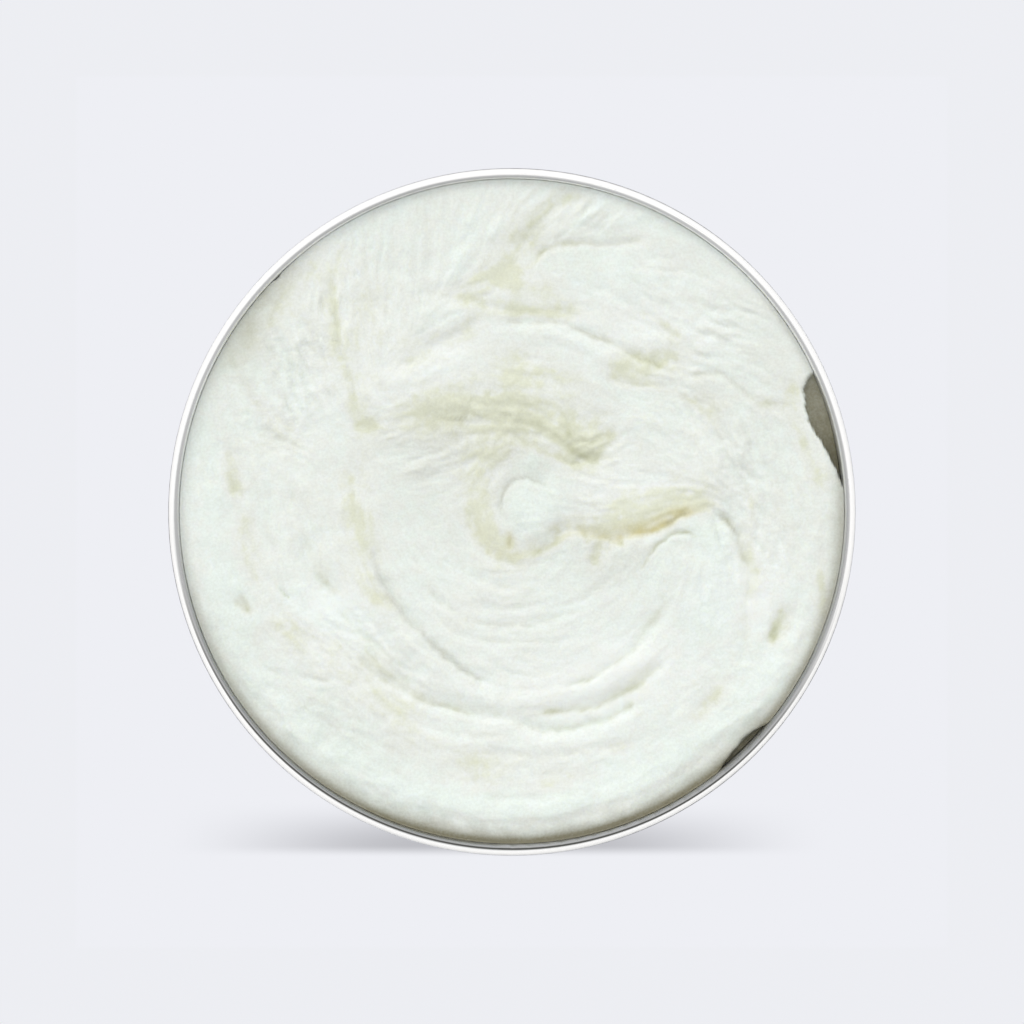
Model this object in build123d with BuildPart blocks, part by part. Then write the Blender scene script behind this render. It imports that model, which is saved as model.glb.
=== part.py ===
"""Shaving soap in a screw-top aluminium tin: tin, soap, screw lid and foam liner.

Millimetres, +Z up. The origin is the centre of the tin's foot, on the table. The tin stands open,
and its lid lies beside it towards -X, turned over, with the liner facing up.
"""

import os
from math import cos, radians, sin

from build123d import *

# The closed tin
CLOSED_H = 28.0  # height with the lid screwed on
BODY_R = 41.5  # outside of the body wall
SHEET = 0.4  # aluminium sheet of the tin and the lid
HALF = SHEET / 2
SEAT_GAP = 0.02  # liner to rim, and liner to lid

# Tin, given along the middle of its sheet
NECK_R = 39.1
NECK_Z = 17.0  # foot of the straight neck
SHOULDER_BEND_R = (BODY_R - HALF - NECK_R) / 2  # two equal bends make the shoulder
FOOT_CORNER_R = 2.4
FOOT_INNER_R = 36.8
PANEL_R = 35.4  # flat middle of the base
PANEL_RISE = 0.8  # how far the middle of the base stands above the foot
PANEL_BEND_R = 0.6
CURL_R = 0.4  # roll of the rim
CURL_DEG = 270

# Lid, given along the middle of its sheet
LID_R = 40.75
LID_CORNER_R = 1.6
LID_PANEL_R = 36.2
LID_PANEL_DROP = 0.5
LID_PANEL_SLOPE = 0.9
LID_BEND_R = 0.35
HEM_R = 0.275  # roll at the lid's lower edge
HEM_DEG = 270
HEM_GAP = 0.4  # hem to the tin's shoulder
LID_APART = 108.0  # from the tin's axis to the axis of the lid beside it

# Liner
LINER_T = 0.9
LINER_R = 40.1
LINER_EDGE_R = 0.15

# Thread, rolled into the sheet: a half-round bump on one face over a hollow in the other
THREAD_PITCH = 3.2
NECK_THREAD_START_DEG = 30
NECK_THREAD_DEG = 317
NECK_THREAD_Z = 20.2
NECK_BUMP_R = 1.1
LID_THREAD_START_DEG = 50
LID_THREAD_DEG = 235
LID_THREAD_BELOW = 1.15  # the closed lid's thread hangs this far below the neck's
LID_BUMP_R = 0.8

# Soap
SOAP_CLEAR = 0.05
SOAP_BELOW_RIM = 1.2
SOAP_EDGE_R = 1.5
SOAP_CORNER_R = 2.0

# Heights that follow from the stack of lid panel, liner and rim
LID_TOP_Z = CLOSED_H - HALF
LID_PANEL_Z = LID_TOP_Z - LID_PANEL_DROP
LINER_Z = LID_PANEL_Z - HALF - SEAT_GAP - LINER_T
RIM_Z = LINER_Z - SEAT_GAP
CURL_Z = RIM_Z - HALF - CURL_R
WALL_TOP_Z = NECK_Z - 2 * SHOULDER_BEND_R
HEM_Z = WALL_TOP_Z + SHOULDER_BEND_R + HALF + HEM_GAP + HALF + HEM_R
LID_LEAD_Z = THREAD_PITCH * (LID_THREAD_START_DEG - NECK_THREAD_START_DEG) / 360
LID_THREAD_Z = NECK_THREAD_Z + LID_LEAD_Z - LID_THREAD_BELOW

TIN_FRAME = Plane.XY
# The closed lid's frame turned over onto the table: its +Z points down and its +X points to -X
LID_FRAME = Plane(origin=(-LID_APART, 0, CLOSED_H), x_dir=(-1, 0, 0), z_dir=(0, 0, -1))


def outward(frame, degrees):
    """The direction away from the frame's axis at an angle round it."""
    return frame.x_dir * cos(radians(degrees)) + frame.y_dir * sin(radians(degrees))


def profile_plane(frame):
    """The half plane that is revolved: x runs outward from the frame's axis, y runs along it."""
    return Plane(origin=frame.origin, x_dir=frame.x_dir, z_dir=frame.x_dir.cross(frame.z_dir))


def wound_bar(frame, start_deg, turn_deg, start_z, helix_r, bar_r):
    """A round bar with round ends, wound round the frame's axis on a right-hand thread."""
    start = frame.origin + frame.z_dir * start_z
    with BuildPart() as bar:
        with BuildLine(Plane(start, x_dir=outward(frame, start_deg), z_dir=frame.z_dir)) as path:
            Helix(pitch=THREAD_PITCH, height=THREAD_PITCH * turn_deg / 360, radius=helix_r)
        with BuildSketch(path.line ^ 0):
            Circle(bar_r)
        sweep(is_frenet=True)
        with Locations(path.line @ 0, path.line @ 1):
            Sphere(bar_r)
    return bar.part


# Tin: one sheet, drawn up from the base, necked in at the shoulder and curled outward at the rim
neck_thread = (TIN_FRAME, NECK_THREAD_START_DEG, NECK_THREAD_DEG, NECK_THREAD_Z, NECK_R + HALF)
with BuildPart() as neck_bump:
    add(wound_bar(*neck_thread, NECK_BUMP_R))
    with BuildSketch(TIN_FRAME.offset(NECK_Z)):
        Circle(NECK_R)
    extrude(amount=RIM_Z - NECK_Z, mode=Mode.SUBTRACT)

wall_r = BODY_R - HALF
with BuildPart() as tin_base:
    with BuildSketch(profile_plane(TIN_FRAME)):
        with BuildLine():
            FilletPolyline(
                (0, HALF + PANEL_RISE),
                (PANEL_R, HALF + PANEL_RISE),
                (FOOT_INNER_R, HALF),
                (wall_r - FOOT_CORNER_R, HALF),
                radius=PANEL_BEND_R,
            )
            CenterArc((wall_r - FOOT_CORNER_R, HALF + FOOT_CORNER_R), FOOT_CORNER_R, -90, 90)
            Line((wall_r, HALF + FOOT_CORNER_R), (wall_r, WALL_TOP_Z))
            CenterArc((wall_r - SHOULDER_BEND_R, WALL_TOP_Z), SHOULDER_BEND_R, 0, 90)
            CenterArc((NECK_R + SHOULDER_BEND_R, NECK_Z), SHOULDER_BEND_R, 270, -90)
            Line((NECK_R, NECK_Z), (NECK_R, CURL_Z))
            CenterArc((NECK_R + CURL_R, CURL_Z), CURL_R, 180, -CURL_DEG)
        trace(line_width=SHEET)
    revolve(axis=Axis.Z)
    add(neck_bump.part)
    add(wound_bar(*neck_thread, NECK_BUMP_R - SHEET), mode=Mode.SUBTRACT)

tin_base.part.label = "tin_base"

# Soap: fills the tin to just below the rim, clear of the metal all round
soap_r = BODY_R - SHEET - SOAP_CLEAR
soap_neck_r = NECK_R - HALF - SOAP_CLEAR
soap_floor_z = PANEL_RISE + SHEET + SOAP_CLEAR
soap_top_z = RIM_Z - SOAP_BELOW_RIM
outer_bend = SHOULDER_BEND_R - HALF - SOAP_CLEAR
inner_bend = SHOULDER_BEND_R + HALF + SOAP_CLEAR
with BuildPart() as soap_puck:
    with BuildSketch(profile_plane(TIN_FRAME)):
        with BuildLine():
            Polyline((0, soap_top_z), (0, soap_floor_z), (soap_r - SOAP_CORNER_R, soap_floor_z))
            CenterArc((soap_r - SOAP_CORNER_R, soap_floor_z + SOAP_CORNER_R), SOAP_CORNER_R, -90, 90)
            Line((soap_r, soap_floor_z + SOAP_CORNER_R), (soap_r, WALL_TOP_Z))
            CenterArc((soap_r - outer_bend, WALL_TOP_Z), outer_bend, 0, 90)
            CenterArc((soap_neck_r + inner_bend, NECK_Z), inner_bend, 270, -90)
            Line((soap_neck_r, NECK_Z), (soap_neck_r, soap_top_z - SOAP_EDGE_R))
            CenterArc((soap_neck_r - SOAP_EDGE_R, soap_top_z - SOAP_EDGE_R), SOAP_EDGE_R, 0, 90)
            Line((soap_neck_r - SOAP_EDGE_R, soap_top_z), (0, soap_top_z))
        make_face()
    revolve(axis=Axis.Z)

soap_puck.part.label = "soap_puck"

# Lid: one sheet with a sunk panel, its thread rolled inward and its lower edge hemmed outward
lid_thread = (LID_FRAME, LID_THREAD_START_DEG, LID_THREAD_DEG, LID_THREAD_Z, LID_R + HALF)
with BuildPart() as lid_bump:
    add(wound_bar(*lid_thread, LID_BUMP_R))
    with BuildSketch(LID_FRAME.offset(HEM_Z)):
        Circle(LID_R)
    extrude(amount=LID_TOP_Z - HEM_Z, mode=Mode.INTERSECT)

with BuildPart() as screw_lid:
    with BuildSketch(profile_plane(LID_FRAME)):
        with BuildLine():
            FilletPolyline(
                (0, LID_PANEL_Z),
                (LID_PANEL_R, LID_PANEL_Z),
                (LID_PANEL_R + LID_PANEL_SLOPE, LID_TOP_Z),
                (LID_R - LID_CORNER_R, LID_TOP_Z),
                radius=LID_BEND_R,
            )
            CenterArc((LID_R - LID_CORNER_R, LID_TOP_Z - LID_CORNER_R), LID_CORNER_R, 90, -90)
            Line((LID_R, LID_TOP_Z - LID_CORNER_R), (LID_R, HEM_Z))
            CenterArc((LID_R + HEM_R, HEM_Z), HEM_R, 180, HEM_DEG)
        trace(line_width=SHEET)
    revolve(axis=Axis(LID_FRAME.origin, LID_FRAME.z_dir))
    add(lid_bump.part)
    add(wound_bar(*lid_thread, LID_BUMP_R - SHEET), mode=Mode.SUBTRACT)

screw_lid.part.label = "screw_lid"

# Liner: a punched foam disc, loose in the lid
with BuildPart() as lid_liner:
    with BuildSketch(LID_FRAME.offset(LINER_Z)):
        Circle(LINER_R)
    extrude(amount=LINER_T)
    fillet(lid_liner.edges(), radius=LINER_EDGE_R)

lid_liner.part.label = "lid_liner"

os.makedirs("parts", exist_ok=True)
export_step(tin_base.part, "parts/tin_base.step")
export_step(soap_puck.part, "parts/soap_puck.step")
export_step(screw_lid.part, "parts/screw_lid.step")
export_step(lid_liner.part, "parts/lid_liner.step")
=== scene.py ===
"""Shaving soap in a screw-top tin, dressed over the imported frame. Metres, +Z up; sculpting is in mm."""

from math import cos, pi, radians, sin

import bpy
import numpy as np
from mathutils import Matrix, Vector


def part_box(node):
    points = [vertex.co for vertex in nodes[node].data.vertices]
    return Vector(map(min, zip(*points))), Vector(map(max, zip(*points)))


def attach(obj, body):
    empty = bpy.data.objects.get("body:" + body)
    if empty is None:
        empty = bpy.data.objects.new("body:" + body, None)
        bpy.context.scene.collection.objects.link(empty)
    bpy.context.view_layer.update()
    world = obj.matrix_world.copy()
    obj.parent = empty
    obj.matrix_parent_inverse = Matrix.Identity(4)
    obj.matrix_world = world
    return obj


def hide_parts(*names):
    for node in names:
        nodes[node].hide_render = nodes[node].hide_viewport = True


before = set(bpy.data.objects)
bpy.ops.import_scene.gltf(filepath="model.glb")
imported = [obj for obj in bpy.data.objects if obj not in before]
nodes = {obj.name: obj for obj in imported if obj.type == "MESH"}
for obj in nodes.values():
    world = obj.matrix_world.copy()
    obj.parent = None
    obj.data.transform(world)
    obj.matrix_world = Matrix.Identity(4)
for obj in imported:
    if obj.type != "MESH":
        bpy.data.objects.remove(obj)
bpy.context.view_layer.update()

MM = 0.001
rim_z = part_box("tin_base")[1].z / MM
soap_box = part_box("soap_puck")
liner_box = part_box("lid_liner")
lid_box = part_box("screw_lid")
LID_X = (lid_box[0].x + lid_box[1].x) / 2  # metres

# Tin, mm
NECK_IN_R = 38.85  # soap in the neck
NECK_Z = 17.0
WALL_TOP_Z = 14.8
BODY_IN_R = soap_box[1].x / MM
SOAP_FLOOR_Z = soap_box[0].z / MM
SOAP_TOP_Z = soap_box[1].z / MM
SOAP_CORNER_R = 2.0


# ---------------------------------------------------------------- node trees


class Tree:
    """A material's or a world's node tree, built by calls that each return an output socket."""

    def __init__(self, tree):
        self.tree = tree
        tree.nodes.clear()

    def node(self, kind, inputs=None, output=0, **settings):
        made = self.tree.nodes.new(kind)
        for key, value in settings.items():
            setattr(made, key, value)
        for key, value in (inputs or {}).items():
            if isinstance(value, bpy.types.NodeSocket):
                self.tree.links.new(value, made.inputs[key])
            else:
                made.inputs[key].default_value = value
        return made.outputs[output] if made.outputs else None

    def math(self, operation, a, b=0.0):
        return self.node("ShaderNodeMath", {0: a, 1: b}, operation=operation)

    def mix(self, factor, a, b):
        return self.node("ShaderNodeMix", {0: factor, 6: a, 7: b}, output=2, data_type="RGBA")

    def fade(self, value, low, high, to_low=0.0, to_high=1.0):
        inputs = {0: value, 1: low, 2: high, 3: to_low, 4: to_high}
        return self.node("ShaderNodeMapRange", inputs, interpolation_type="SMOOTHSTEP")

    def attribute(self, name):
        return self.node("ShaderNodeAttribute", output=2, attribute_name=name)

    def noise(self, vector, scale, detail=2.0, rough=0.5):
        inputs = {"Vector": vector, "Scale": scale, "Detail": detail, "Roughness": rough}
        return self.node("ShaderNodeTexNoise", inputs)

    def noise_4d(self, vector, w, scale, detail=2.0, rough=0.5):
        inputs = {"Vector": vector, "W": w, "Scale": scale, "Detail": detail, "Roughness": rough}
        return self.node("ShaderNodeTexNoise", inputs, noise_dimensions="4D")

    def vector(self, x, y, z):
        return self.node("ShaderNodeCombineXYZ", {0: x, 1: y, 2: z})

    def bump(self, height, strength, distance, normal=None):
        inputs = {"Height": height, "Strength": strength, "Distance": distance}
        if normal is not None:
            inputs["Normal"] = normal
        return self.node("ShaderNodeBump", inputs)

    def object_xyz(self):
        place = self.node("ShaderNodeTexCoord", output=3)
        parts = self.tree.nodes.new("ShaderNodeSeparateXYZ")
        self.tree.links.new(place, parts.inputs[0])
        return place, parts.outputs[0], parts.outputs[1], parts.outputs[2]

    def surface(self, shader):
        self.node("ShaderNodeOutputMaterial", {"Surface": shader})


def material(name):
    made = bpy.data.materials.new(name)
    made.use_nodes = True
    return made, Tree(made.node_tree)


def wear(obj, made):
    obj.data.materials.clear()
    obj.data.materials.append(made)


# ---------------------------------------------------------------- noise and strokes, in mm


def noise(u, v, seed):
    """Smooth value noise with a unit cell, between -1 and 1."""
    size = 256
    table = np.random.RandomState(seed).uniform(-1, 1, (size, size))
    i, j = np.floor(u).astype(int), np.floor(v).astype(int)
    f, g = u - i, v - j
    f, g = f * f * (3 - 2 * f), g * g * (3 - 2 * g)
    i0, j0, i1, j1 = i % size, j % size, (i + 1) % size, (j + 1) % size
    low = table[i0, j0] * (1 - f) + table[i1, j0] * f
    high = table[i0, j1] * (1 - f) + table[i1, j1] * f
    return low * (1 - g) + high * g


def cloud(x, y, cell, seed, octaves=3):
    """Fractal noise whose largest cell is `cell` mm, turned between octaves."""
    total, weight = np.zeros_like(x), 1.0
    turn_c, turn_s = cos(0.7), sin(0.7)
    for octave in range(octaves):
        total += weight * noise(x / cell, y / cell, seed + octave)
        x, y = x * turn_c - y * turn_s, x * turn_s + y * turn_c
        cell, weight = cell * 0.5, weight * 0.55
    return total


def smooth(value, low, high):
    t = np.clip((value - low) / (high - low), 0, 1)
    return t * t * (3 - 2 * t)


def curve_through(points, step=0.6):
    """Points along a smooth curve through the given ones, which come as x, y, x, y and so on."""
    p = np.reshape(points, (-1, 2)).astype(float)
    if len(p) == 2:
        p = np.array([p[0], (p[0] + p[1]) / 2, p[1]])
    ends = np.vstack([2 * p[0] - p[1], p, 2 * p[-1] - p[-2]])
    out = []
    for a, b, c, d in zip(ends, ends[1:], ends[2:], ends[3:]):
        count = max(2, int(np.hypot(*(c - b)) / step))
        t = np.linspace(0, 1, count, endpoint=False)[:, None]
        cubic = 2 * b + (c - a) * t + (2 * a - 5 * b + 4 * c - d) * t**2 + (3 * b - a - 3 * c + d) * t**3
        out.append(cubic / 2)
    return np.vstack(out + [p[-1:]])


def along(points, x, y):
    """For each place: distance to the curve, + on its left and - on its right, and how far along."""
    line = curve_through(points)
    steps = np.hypot(*np.diff(line, axis=0).T)
    run = np.concatenate([[0], np.cumsum(steps)])
    best = np.full(x.shape, 1e9)
    side, place = np.zeros_like(x), np.zeros_like(x)
    for k, length in enumerate(steps):
        tx, ty = (line[k + 1] - line[k]) / length
        dx, dy = x - line[k, 0], y - line[k, 1]
        t = np.clip(dx * tx + dy * ty, 0, length)
        ex, ey = dx - t * tx, dy - t * ty
        d = ex * ex + ey * ey
        closer = d < best
        best = np.where(closer, d, best)
        side = np.where(closer, np.sign(tx * ey - ty * ex), side)
        place = np.where(closer, run[k] + t, place)
    return np.sqrt(best) * np.where(side >= 0, 1, -1), place, run[-1]


# ---------------------------------------------------------------- soap: what the hand left in it
# Every stroke: rise (mm, - for a groove), width on its left, width on its right, ivory, olive, and its
# points as x, y, x, y and so on. Left and right are as seen walking along the points.

CENTRE = [
    (-0.42, 0.7, 0.26, 0.05, 0.16, [-1.3, -0.8, -1.2, 2, -0.3, 3.5, 1, 3.95, 2.6, 3.8, 4.8, 2.9]),
    (0.3, 1.2, 1.3, 0.35, 0, [0, 8.6, -1.4, 7.6, -3.2, 5.3, -4.1, 3, -4.2, 0.6, -3.5, -1.8]),
    (0.2, 1.1, 1, 0.65, 0.03, [-3.5, -1.8, -2.2, -3.5, -0.4, -4.2, 1.2, -4.2]),
    (-0.3, 0.6, 0.7, 0.4, 0.12, [-5.1, 1, -4.9, -1, -4.2, -2.8, -2.6, -4.7, -0.4, -5.4, 1.6, -5]),
    (-0.3, 0.5, 0.5, 0.5, 0.28, [0.5, -4.7, 3, -4.5, 4.7, -3.6, 6.4, -2.1]),
    (-0.25, 0.45, 0.45, 0.4, 0.3, [0.1, -2.4, -0.1, -3.6, -0.7, -4.6]),
    (0.28, 0.9, 0.9, 0.1, 0, [-12.2, 4.5, -9, 5.7, -6, 6.9, -3, 8.2, -0.6, 8.7]),
    (-0.15, 0.6, 0.6, 0.1, 0.08, [-14, 4.6, -10.5, 4.1, -7.4, 4.6]),
    (-0.4, 0.5, 0.6, 0.55, 0.15, [-0.4, 9.1, 3, 7.6, 5.6, 6.3, 7.6, 5]),
    (-0.14, 0.3, 0.3, 0.1, 0.12, [3, 5, 6, 4.5, 9.5, 4.1]),
    (0.22, 0.8, 0.8, -0.3, 0, [1.2, 6.1, 2.4, 5.9, 3.6, 5.3]),
]

MAIN_CREASE = [
    (-0.7, 1.6, 0.55, 0.55, 0.3, [4.4, -3.6, 6.2, -2.2, 8.2, -2.4, 10, -2.5, 12, -3.2, 14, -2.4]),
    (-0.95, 1.7, 0.4, 0.5, 0.25, [13, -2.7, 15.5, -2.4, 17.2, -1.9, 18.8, -0.9, 20.1, -0.2, 21.4, 0.1]),
    (-0.1, 2.2, 0.6, 0.45, 0, [11, -0.6, 15, 0.1, 18, 1.1, 21, 1.4, 24.4, 0.9]),
    (-0.2, 0.6, 0.6, 0.45, 0.1, [21.4, 0.1, 22.6, 0.5, 23.8, 0]),
    (-0.85, 0.8, 0.38, 0.2, 0.55, [23.7, 0, 25, -0.8, 26, -2, 26.6, -3.6]),
    (-0.6, 1, 0.4, 0.25, 0.35, [26.6, -3.6, 27.3, -6, 27.7, -8.2, 27.2, -11]),
    (-0.4, 0.9, 0.8, 0.05, 0.22, [27.2, -11, 27.4, -13, 27, -16, 26.4, -18.6]),
    (0.12, 0.5, 0.5, 0.25, 0, [28.2, 2.5, 27.9, -3, 28.4, -8, 28.1, -14.5]),
    (0.35, 1.6, 1.6, -0.3, 0, [22.6, -0.9, 23.4, -4, 23.4, -9, 22.6, -14.5]),
    (-0.3, 0.7, 0.6, 0.75, 0.22, [10.4, -3, 9.9, -4.8, 9.6, -6.6]),
    (-0.3, 0.35, 0.35, 0.5, 0.3, [8.5, -2.5, 8.8, -3.9]),
    (-0.3, 0.4, 0.35, 0.45, 0.3, [11.3, -3.1, 11.5, -4.7]),
    (-0.25, 0.35, 0.3, 0.4, 0.25, [12.8, -3.1, 13, -4.2]),
    (-0.38, 0.5, 0.25, 0, 0.36, [14.8, -7, 16.3, -5.2, 17, -3.9, 18.1, -2.9, 19.2, -2.4, 20.4, -2.4,
        21.8, -3.2]),
    (0.3, 0.5, 0.5, 0.2, 0, [6.8, -1.3, 7.2, -3]),
    (0.3, 0.6, 0.6, 0, 0, [9.1, -2.9, 8.9, -4.6]),
    (0.28, 0.7, 0.7, 0, 0, [12.7, -3.7, 13.3, -5.2]),
    (-0.3, 0.3, 0.3, 0, 0.3, [23.6, -0.4, 24.2, -2.6, 24.6, -5]),
]

LOWER_ARCS = [
    (-0.22, 0.4, 0.4, 0.1, 0.15, [-2.4, -5.7, 1, -6.3, 4.6, -5.5]),
    (-0.2, 0.4, 0.4, 0, 0.18, [-7, -6.2, -4, -7.8, -0.6, -8.7, 2.4, -8.4]),
    (-0.3, 0.4, 0.5, 0, 0.2, [-10.2, -8.8, -8.2, -10.8, -5.6, -12.2]),
    (-0.22, 0.4, 0.4, 0, 0.18, [-5.4, -10.8, -1, -11.4, 3, -10.9]),
    (-0.34, 0.45, 0.5, 0, 0.28, [-4.8, -12.8, -1, -13.3, 3.6, -12.9, 8.4, -11.2]),
    (-0.25, 0.4, 0.4, 0, 0.18, [-9.6, -11.8, -6.4, -14.2, -2, -15.2, 4, -15.2]),
    (-0.24, 0.4, 0.4, 0, 0.18, [-2, -18.5, 2, -19.1, 6.4, -18.7]),
    (-0.45, 0.5, 0.35, 0, 0.3, [6.2, -20.6, 9, -19.6, 11.3, -18.3, 13.4, -16.8, 16, -14.7]),
    (-0.45, 1.1, 1, 0, 0.28, [14.4, -15.4, 16.4, -13, 17.6, -11.2, 18.4, -9.4]),
    (-0.24, 0.4, 0.4, 0, 0.15, [4.6, -11.2, 8, -10.2, 11, -8.4, 13, -6.6]),
    (-0.8, 0.7, 0.35, 0, 0.16, [-16.4, -3.6, -15.4, -7.4, -14, -10, -12.5, -12, -10.5, -14.4]),
    (-0.6, 0.65, 0.35, 0, 0.14, [-10.5, -14.4, -8, -16.8, -5.5, -18.8, -3.9, -19.8, -3, -21.3]),
    (-0.35, 0.35, 0.35, 0, 0.12, [-9.2, -15.6, -7, -17.4, -4.8, -19.2, -2, -20.2]),
    (0.4, 1.2, 1.2, 0.1, 0, [-18, -7, -15.8, -11.6, -12.4, -15, -9, -18.4, -5.5, -21, -1, -22.3]),
    (0.34, 1, 1.2, 0, 0, [-1, -22.3, 4, -21.9, 9, -20.9, 13, -19, 17, -15.8]),
    (-0.75, 1.1, 0.5, 0.05, 0.4, [-18.4, -16.6, -16, -19.2, -12, -21.4, -8.6, -22.7, -5, -23.6,
        0, -24.3]),
    (-0.75, 1.1, 0.5, 0.05, 0.42, [0, -24.3, 3, -25.5, 5.2, -25.8, 9, -25, 12, -23.9, 15, -22.2]),
    (-0.6, 0.9, 0.5, 0.2, 0.35, [2.6, -23.5, 7, -23.2, 10, -22.6, 13, -21.3, 15.4, -19.7, 18, -17.5]),
    (-0.5, 0.9, 0.6, 0, 0.3, [-20.4, -10.8, -18.5, -13.4, -16, -15.4, -13.5, -17.5, -11.2, -18.8]),
    (-0.45, 0.8, 0.6, 0, 0.28, [-17.8, -15.2, -14.7, -18.6, -11, -20.3]),
    (-0.5, 1.3, 0.9, 0, 0.28, [-24.6, -2.6, -23.8, -6.4, -21.8, -8.7, -19.4, -10.2]),
    (-0.4, 0.6, 0.4, 0.1, 0.12, [-25.4, -18.8, -23, -19.7, -20.3, -19.9]),
    (-0.28, 0.5, 0.4, 0, 0.2, [-29.2, -18.2, -26.8, -19.2]),
    (-0.35, 0.6, 0.4, 0.1, 0.22, [-21.6, -14.6, -18.4, -17.2]),
    (-0.26, 0.6, 0.5, 0, 0.15, [-24, -21.3, -21, -22, -17.5, -24.4]),
    (-0.3, 0.5, 0.5, 0, 0.15, [-20, -25.4, -16, -26.6, -13, -28.6]),
    (-0.22, 0.6, 0.5, 0, 0.12, [-11, -24.9, -6, -26, -1, -26.4]),
    (-0.24, 0.5, 0.5, 0.1, 0.12, [-3, -28.2, 3, -28.6, 9, -28, 14.6, -26.6]),
    (-0.26, 0.6, 0.5, 0, 0.14, [-4, -33.3, 2, -33.5, 8.4, -32.8]),
    (0.28, 1.3, 1.3, -0.15, 0, [-26, -8, -24.5, -11.6, -21.6, -12.7, -18.6, -12.4]),
    (0.25, 1, 1, 0, 0, [-15, -24.4, -9, -26.8, -2, -27.2, 6, -27]),
]

LEFT_SIDE = [
    (-0.1, 1.7, 1.7, 0.28, 0, [-28.5, -12, -24, -15.4, -20, -18.4, -16, -20.8, -13, -23.4, -11, -27]),
    (-0.5, 0.3, 0.22, 0, 0.6, [-27.3, -8.9, -26.8, -9.8, -26, -10.7]),
    (-0.3, 1.6, 1.2, 0.1, 0.25, [-30.4, 9.3, -27, 8.3, -23.8, 7.6]),
    (-0.15, 0.9, 0.9, 0.22, 0.03, [-31.4, 15.4, -29.6, 12.6, -27, 10.4, -24.8, 8.9]),
    (-0.28, 0.9, 0.8, 0.85, 0.24, [-32.9, 7.8, -32.8, 4.6, -32, 1]),
    (-0.12, 1, 1, 0.5, 0, [-31.5, 0.5, -30.6, -5, -29.4, -9.4]),
    (0.4, 1.2, 1.6, -0.25, 0, [-34.6, 4, -34.6, -2, -32.8, -8, -29.5, -14]),
    (-0.35, 1, 1, 0, 0.15, [-27.6, -5.5, -28.6, -1.5, -28.2, 3]),
    (-0.3, 0.5, 0.5, 0, 0.22, [-26, 1.2, -25.6, 2.8]),
    (0.3, 1, 1, 0, 0, [-28.5, 5.6, -25.4, 3.6, -23, 0.4, -22.5, -3]),
    (-0.15, 1.3, 1.3, 0.5, 0, [-18.4, 6, -18.4, 3, -18.1, -1, -17.2, -6]),
    (-0.15, 1, 0.9, 0.45, 0.1, [-18.3, -7, -16.8, -9.2, -14.6, -10.6]),
]

UPPER_LEFT = [
    (-0.5, 0.4, 0.6, 0.5, 0.14, [-21.2, 28, -20.7, 22, -20, 19, -18.9, 16, -18.3, 13, -17.4, 10.6]),
    (0.45, 0.7, 0.6, 0.15, 0, [-19.5, 23, -18.8, 18.4, -17.4, 14.8, -15.8, 12.4]),
    (-0.43, 0.35, 0.35, 0, 0.1, [-27.4, 21.4, -25.8, 16.6, -24.8, 12.2]),
    (-0.36, 0.3, 0.3, 0, 0.1, [-25.4, 20.4, -23.8, 16]),
    (-0.41, 0.3, 0.3, 0, 0.12, [-23.4, 22.2, -22, 18.6, -21.3, 16.6]),
    (-0.41, 0.3, 0.3, 0, 0.12, [-26.9, 14.4, -25.6, 10.8]),
    (0.36, 0.4, 0.4, -0.1, 0, [-26.5, 20.6, -24.8, 15.4, -23.8, 11.2]),
    (0.36, 0.4, 0.4, -0.1, 0, [-22.8, 22.6, -21.7, 19.6]),
    (-0.2, 0.9, 0.9, 0.1, 0, [-18.6, 27.6, -16.4, 25, -15.4, 22]),
    (-0.17, 1.6, 1.6, 0.35, 0, [-28, 23, -24, 27.5, -18, 31]),
    (-0.2, 0.4, 0.4, 0.15, 0.05, [-20.6, 30, -20.3, 24.5]),
    (-0.23, 0.4, 0.4, 0.2, 0.05, [-17.2, 33, -16.9, 27]),
    (-0.2, 0.4, 0.4, 0.1, 0.05, [-14, 34.6, -13.8, 27]),
    (0.2, 0.5, 0.5, -0.1, 0, [-12.2, 33, -12, 24]),
    (-0.2, 0.5, 0.4, 0.1, 0.05, [-10, 36, -9.6, 27.6]),
    (0.52, 0.8, 0.8, -0.15, 0, [-7.4, 26.8, -6.4, 29, -5, 31.4]),
    (0.38, 0.5, 0.5, -0.1, 0, [-5, 33, -4, 36.4]),
    (0.41, 0.6, 0.6, -0.1, 0, [-2.6, 31.4, -1.2, 34.8]),
]

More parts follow.
